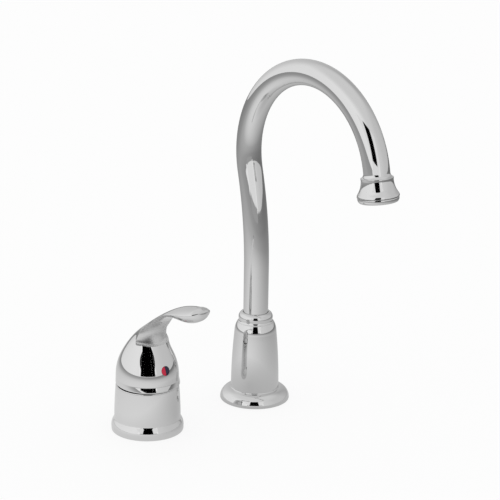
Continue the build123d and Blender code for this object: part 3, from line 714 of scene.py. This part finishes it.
def weaveTree():
    # plain weave inside a round rim: wires along a grid's edges, over and under at alternate crossings
    tree, given = nodeTree("wovenWire", [("Radius", "Float"), ("Spacing", "Float"), ("Wire", "Float"),
                                         ("Rim", "Float"), ("Count", "Int"), ("Material", "Material")])
    size = addNode(tree, "ShaderNodeMath", {0: given["Count"], 1: 1.0}, operation="SUBTRACT").outputs[0]
    size = addNode(tree, "ShaderNodeMath", {0: size, 1: given["Spacing"]}, operation="MULTIPLY").outputs[0]
    grid = addNode(tree, "GeometryNodeMeshGrid", {"Size X": size, "Size Y": size, "Vertices X": given["Count"],
                                                  "Vertices Y": given["Count"]}).outputs["Mesh"]
    index = addNode(tree, "GeometryNodeInputIndex").outputs[0]
    column = addNode(tree, "ShaderNodeMath", {0: index, 1: given["Count"]}, operation="DIVIDE").outputs[0]
    column = addNode(tree, "ShaderNodeMath", {0: column}, operation="FLOOR").outputs[0]
    crossing = addNode(tree, "ShaderNodeMath", {0: index, 1: column}, operation="ADD").outputs[0]
    odd = addNode(tree, "ShaderNodeMath", {0: crossing, 1: 2.0}, operation="MODULO").outputs[0]
    side = addNode(tree, "ShaderNodeMath", {0: odd, 1: 2.0, 2: -1.0}, operation="MULTIPLY_ADD").outputs[0]
    ends = addNode(tree, "GeometryNodeInputMeshEdgeVertices").outputs
    run = addNode(tree, "ShaderNodeVectorMath", {0: ends["Position 1"], 1: ends["Position 2"]},
                  operation="SUBTRACT").outputs["Vector"]
    run = addNode(tree, "ShaderNodeSeparateXYZ", {0: run}).outputs
    reach = [addNode(tree, "ShaderNodeVectorMath", {0: ends[end]}, operation="LENGTH").outputs["Value"]
             for end in ("Position 1", "Position 2")]
    reach = addNode(tree, "ShaderNodeMath", {0: reach[0], 1: reach[1]}, operation="MAXIMUM").outputs[0]
    within = addNode(tree, "FunctionNodeCompare", {"A": reach, "B": given["Radius"]},
                     operation="LESS_THAN").outputs["Result"]
    section = addNode(tree, "GeometryNodeCurvePrimitiveCircle", {
        "Resolution": 6, "Radius": given["Wire"]}).outputs["Curve"]
    layers = []
    for axis, over in (("X", 1.0), ("Y", -1.0)):
        rise = addNode(tree, "ShaderNodeMath", {0: side, 1: over}, operation="MULTIPLY").outputs[0]
        rise = addNode(tree, "ShaderNodeMath", {0: rise, 1: given["Wire"]}, operation="MULTIPLY").outputs[0]
        offset = addNode(tree, "ShaderNodeCombineXYZ", {"Z": rise}).outputs["Vector"]
        length = addNode(tree, "ShaderNodeMath", {0: run[axis]}, operation="ABSOLUTE").outputs[0]
        along = addNode(tree, "FunctionNodeCompare", {"A": length, "B": 1e-5},
                        operation="GREATER_THAN").outputs["Result"]
        chosen = addNode(tree, "FunctionNodeBooleanMath", {0: along, 1: within}, operation="AND").outputs[0]
        wires = addNode(tree, "GeometryNodeMeshToCurve", {"Mesh": grid, "Selection": chosen}).outputs["Curve"]
        waved = addNode(tree, "GeometryNodeSetPosition", {
            "Geometry": wires, "Offset": offset}).outputs["Geometry"]
        layers.append(addNode(tree, "GeometryNodeCurveToMesh", {
            "Curve": waved, "Profile Curve": section, "Fill Caps": True}).outputs["Mesh"])
    rimLine = addNode(tree, "GeometryNodeCurvePrimitiveCircle", {"Resolution": 96, "Radius": given["Radius"]})
    band = addNode(tree, "GeometryNodeCurvePrimitiveCircle", {"Resolution": 10, "Radius": given["Rim"]})
    layers.append(addNode(tree, "GeometryNodeCurveToMesh", {
        "Curve": rimLine.outputs["Curve"], "Profile Curve": band.outputs["Curve"]}).outputs["Mesh"])
    joined = addNode(tree, "GeometryNodeJoinGeometry", {"Geometry": tuple(layers)}).outputs["Geometry"]
    finishTree(tree, joined, given["Material"])
    return tree


threads = {
    "depth": 0.28, "stepsPerTurn": 44,
    # radius of the post, bottom, length, pitch, and where the axis stands
    "ridges": {
        "shankThread": (10.9, -35.0, 33.0, 1.5, (0.0, 0.0)),
        "hoseThread": (10.4, -50.8, 14.4, 1.814, (0.0, 0.0)),
        "bodyThread": (14.0, -44.6, 44.0, 1.5, valveShift[:2]),
    },
}
cutThread = threadTree()
for name, (radius, bottom, length, pitch, (x, y)) in threads["ridges"].items():
    mesh = grownMesh(name, cutThread, {
        "Radius": radius * mm, "Pitch": pitch * mm, "Length": length * mm, "Depth": threads["depth"] * mm,
        "Steps": threads["stepsPerTurn"], "Material": finishes["brass"],
    }, Matrix.Translation((x * mm, y * mm, bottom * mm)))
    finishPiece(name, mesh, "base", "brass", sharp=30)

# wire and rim are radii, count is the wires each way, and the screen stands this far along the outlet's axis
screen = {"radius": 10.3, "spacing": 0.8, "wire": 0.11, "rim": 0.2, "count": 27, "at": 13.4}
screenMesh = grownMesh("aeratorScreen", weaveTree(), {
    "Radius": screen["radius"] * mm, "Spacing": screen["spacing"] * mm, "Wire": screen["wire"] * mm,
    "Rim": screen["rim"] * mm, "Count": screen["count"], "Material": finishes["stainless_mesh"],
}, outletMatrix() @ Matrix.Translation((0, 0, screen["at"] * mm)))
finishPiece("aeratorScreen", screenMesh, "spout", "stainless_mesh", "aerator_screen", sharp=50)
print("threads and screen")


# camera and studio

camera = {
    "place": (-1.1015, -1.2943, 0.6790), "heading": -40.20, "down": 17.61, "roll": 0.81,
    "lens": 144.94, "sensor": 36.0,
}
studio = {
    "floorHalf": 4.0,
    "paper": "#F2F2F2",
    "shadowShare": 0.16,  # how much of the floor's look is its own lit paper, so that it keeps a soft shadow
    # what polished metal sees: greys round the horizon in degrees from the camera, positive to its right
    "horizon": [(-180, "#C8C8C8"), (-150, "#DADADA"), (-120, "#F2F2F2"), (-40, "#FAFAFA"), (-15, "#F4F4F4"),
                (10, "#E4E4E4"), (40, "#E0E0E0"), (75, "#D4D4D4"), (115, "#D0D0D0"), (150, "#B4B4B4"),
                (180, "#C8C8C8")],
    "zenith": "#E0E0E0",
    "zenithRise": (0.6, 0.95),  # sines of the heights between which the horizon's greys give way to the zenith
    # the painted pool of light on the paper round the bases, where metal mirrors it, by distance in metres from
    # its middle: painted shade in the middle, brighter around it, greyer further out
    "paintedPool": [(0.0, "#D8D8D8"), (0.14, "#F4F4F4"), (0.30, "#E9E9E9"), (0.42, "#DADADA"), (0.60, "#BEBEBE"),
              (1.0, "#A8A8A8"), (2.0, "#9E9E9E"), (4.0, "#A0A0A0")],
    "patchMiddle": (0.07, -0.03),  # metres from the faucet towards the camera, and to the camera's right
    # the painted light is brighter to one side, in degrees to the camera's left: its mean, how much more or
    # less, how softly
    "brightSide": 50.0, "patchStrength": 0.78, "patchContrast": 0.25, "patchSoftness": 0.12,
    "cardAt": 1.0, "cardStep": 0.001,
    # upright cards before the faucet: low and top edge, left and right end of the low edge and of the top edge,
    # grey, and who sees it lit; every other piece sees the same card black, and a later card stands nearer
    "cards": [
        ("blackFlag", 0.35, 1.05, (-0.27, 0.26), (-0.27, 0.26), "#000000", "floor"),
        ("neckCard", 0.15, 0.35, (-0.27, 0.26), (-0.27, 0.26), "#F0F0F0", "neck"),
        ("lowFlag", 0.06, 0.15, (-0.27, 0.26), (-0.27, 0.26), "#A8A8A8", "neck"),
        ("leftWing", 0.15, 1.05, (-0.43, -0.27), (-0.43, -0.27), "#F0F0F0", "notHandle"),
        ("rightWing", 0.15, 1.05, (0.26, 0.48), (0.26, 0.48), "#F0F0F0", "notHandle"),
        ("leftSkirting", 0.06, 0.15, (-0.43, -0.27), (-0.43, -0.27), "#A8A8A8", "notHandle"),
        ("rightSkirting", 0.06, 0.15, (0.26, 0.48), (0.26, 0.48), "#A8A8A8", "notHandle"),
        ("leftPaper", 0.12, 0.80, (-0.55, -0.43), (-0.55, -0.43), "#FFFFFF", "all"),
        ("rightPaper", 0.12, 0.80, (0.48, 0.58), (0.48, 0.58), "#FFFFFF", "all"),
        ("leftShoulder", 0.30, 1.05, (-0.44, -0.43), (-0.84, -0.43), "#F0F0F0", "notHandle"),
        ("rightShoulder", 0.30, 1.05, (0.48, 0.49), (0.48, 0.74), "#F0F0F0", "notHandle"),
    ],
}

cameraData = bpy.data.cameras.new("photographer")
cameraData.lens = camera["lens"]
cameraData.sensor_width = camera["sensor"]
cameraObject = bpy.data.objects.new("photographer", cameraData)
bpy.context.scene.collection.objects.link(cameraObject)
cameraObject.matrix_world = (
    Matrix.Translation(camera["place"])
    @ Matrix.Rotation(math.radians(camera["heading"]), 4, "Z")
    @ Matrix.Rotation(math.radians(90 - camera["down"]), 4, "X")
    @ Matrix.Rotation(math.radians(camera["roll"]), 4, "Z")
)
bpy.context.scene.camera = cameraObject
forward = Vector((camera["place"][0], camera["place"][1], 0)).normalized()  # from the faucet to the camera
rightward = Vector((-forward.y, forward.x, 0))


def stageQuad(name, corners, material):
    mesh = bpy.data.meshes.new(name)
    mesh.from_pydata(corners, [], [tuple(range(len(corners)))])
    mesh.materials.append(material)
    thing = bpy.data.objects.new(name, mesh)
    bpy.context.scene.collection.objects.link(thing)
    return thing


def gradient(tree, factor, stops, low, high):
    # colours at stops of a factor that runs from low to high
    share = addNode(tree, "ShaderNodeMapRange", {
        "Value": factor, "From Min": low, "From Max": high}).outputs["Result"]
    shares = [((at - low) / (high - low), colour) for at, colour in stops]
    return addNode(tree, "ShaderNodeValToRGB", {"Fac": share}, shares).outputs["Color"]


def floorMaterial():
    # pale paper: white to the camera, with a soft shadow; where metal mirrors it, a painted pool of light round
    # the bases, with painted shade in its middle and brighter to one side
    material, tree, place = newMaterial("palePaper")
    rays = addNode(tree, "ShaderNodeLightPath").outputs
    middle = forward * studio["patchMiddle"][0] + rightward * studio["patchMiddle"][1]
    fromMiddle = addNode(tree, "ShaderNodeVectorMath", {0: place, 1: middle},
                         operation="SUBTRACT").outputs["Vector"]
    distance = addNode(tree, "ShaderNodeVectorMath", {0: fromMiddle}, operation="LENGTH").outputs["Value"]
    side = math.radians(studio["brightSide"])
    brightSide = forward * math.cos(side) - rightward * math.sin(side)
    lean = addNode(tree, "ShaderNodeVectorMath", {0: fromMiddle, 1: brightSide},
                   operation="DOT_PRODUCT").outputs["Value"]
    further = addNode(tree, "ShaderNodeMath", {0: distance, 1: studio["patchSoftness"]},
                      operation="ADD").outputs[0]
    lean = addNode(tree, "ShaderNodeMath", {0: lean, 1: further}, operation="DIVIDE").outputs[0]
    strength = addNode(tree, "ShaderNodeMath", {
        0: lean, 1: studio["patchContrast"], 2: studio["patchStrength"]}, operation="MULTIPLY_ADD").outputs[0]
    # painted light and shade: mirrored rays see this emitted gradient instead of the lit paper
    paintedPool = gradient(tree, distance, studio["paintedPool"], 0.0, studio["paintedPool"][-1][0])
    mirrored = addNode(tree, "ShaderNodeEmission", {"Color": paintedPool, "Strength": strength}).outputs[0]
    matt = addNode(tree, "ShaderNodeBsdfDiffuse", {"Color": linear(studio["paper"])}).outputs[0]
    white = addNode(tree, "ShaderNodeEmission", {"Strength": 1.0}).outputs[0]
    seen = addNode(tree, "ShaderNodeMath", {0: rays["Is Camera Ray"], 1: 1 - studio["shadowShare"]},
                   operation="MULTIPLY").outputs[0]
    plain = addNode(tree, "ShaderNodeMixShader", {0: seen, 1: matt, 2: white}).outputs[0]
    glossy = addNode(tree, "ShaderNodeMath", {0: rays["Is Glossy Ray"], 1: rays["Is Transmission Ray"]},
                     operation="MAXIMUM").outputs[0]
    surface = addNode(tree, "ShaderNodeMixShader", {0: glossy, 1: plain, 2: mirrored}).outputs[0]
    addNode(tree, "ShaderNodeOutputMaterial", {"Surface": surface})
    return material


half = studio["floorHalf"]
floorCorners = [(-half, -half, 0), (half, -half, 0), (half, half, 0), (-half, half, 0)]
floor = stageQuad("floor", floorCorners, floorMaterial())


def studioCard(name, low, top, lowEdge, topEdge, grey, receivers, distance):
    # lit paper to its receivers, a black flag to everything else
    material, tree, _ = newMaterial(name)
    light = addNode(tree, "ShaderNodeEmission", {"Color": linear(grey), "Strength": 1.0}).outputs[0]
    addNode(tree, "ShaderNodeOutputMaterial", {"Surface": light})
    places = [(lowEdge[0], low), (lowEdge[1], low), (topEdge[1], top), (topEdge[0], top)]
    corners = [forward * distance + rightward * shift + Vector((0, 0, z)) for shift, z in places]
    card = stageQuad(name, corners, material)
    card.visible_camera = card.visible_diffuse = card.visible_shadow = False
    lit = bpy.data.collections.new(name + "Lit")
    for piece in receivers:
        lit.objects.link(piece)
    card.light_linking.receiver_collection = lit


everything = [thing for thing in bpy.context.scene.objects if thing.type == "MESH" and thing is not floor]
seenBy = {
    "floor": [floor],
    "neck": [bpy.data.objects["spoutNeck"]],
    "notHandle": [thing for thing in everything if thing is not handleCasting],
    "all": everything,
}
for i, (name, low, top, lowEdge, topEdge, grey, who) in enumerate(studio["cards"]):
    distance = studio["cardAt"] - studio["cardStep"] * i
    studioCard(name, low, top, lowEdge, topEdge, grey, seenBy[who], distance)


def studioWorld():
    # even white light; polished metal sees the greys round the horizon and the zenith
    world = bpy.data.worlds.new("paleRoom")
    bpy.context.scene.world = world
    world.use_nodes = True
    tree = world.node_tree
    tree.nodes.clear()
    rays = addNode(tree, "ShaderNodeLightPath").outputs
    towards = addNode(tree, "ShaderNodeTexCoord").outputs["Generated"]
    sideways, ahead, height = [
        addNode(tree, "ShaderNodeVectorMath", {0: towards, 1: axis}, operation="DOT_PRODUCT").outputs["Value"]
        for axis in (rightward, forward, Vector((0, 0, 1)))
    ]
    angle = addNode(tree, "ShaderNodeMath", {0: sideways, 1: ahead}, operation="ARCTAN2").outputs[0]
    angle = addNode(tree, "ShaderNodeMath", {0: angle}, operation="DEGREES").outputs[0]
    around = gradient(tree, angle, studio["horizon"], -180, 180)
    low, high = studio["zenithRise"]
    up = addNode(tree, "ShaderNodeMapRange", {"Value": height, "From Min": low, "From Max": high},
                 interpolation_type="SMOOTHSTEP").outputs["Result"]
    room = addNode(tree, "ShaderNodeMix", {"Factor": up, "A": around, "B": linear(studio["zenith"])},
                   data_type="RGBA")
    glossy = addNode(tree, "ShaderNodeMath", {0: rays["Is Glossy Ray"], 1: rays["Is Transmission Ray"]},
                     operation="MAXIMUM").outputs[0]
    mirrored = addNode(tree, "ShaderNodeBackground", {"Color": room.outputs["Result"]}).outputs[0]
    plain = addNode(tree, "ShaderNodeBackground", {"Color": linear("#FFFFFF")}).outputs[0]
    surface = addNode(tree, "ShaderNodeMixShader", {0: glossy, 1: plain, 2: mirrored}).outputs[0]
    addNode(tree, "ShaderNodeOutputWorld", {"Surface": surface})


studioWorld()
bpy.context.scene.view_settings.view_transform = "Standard"
print("studio")
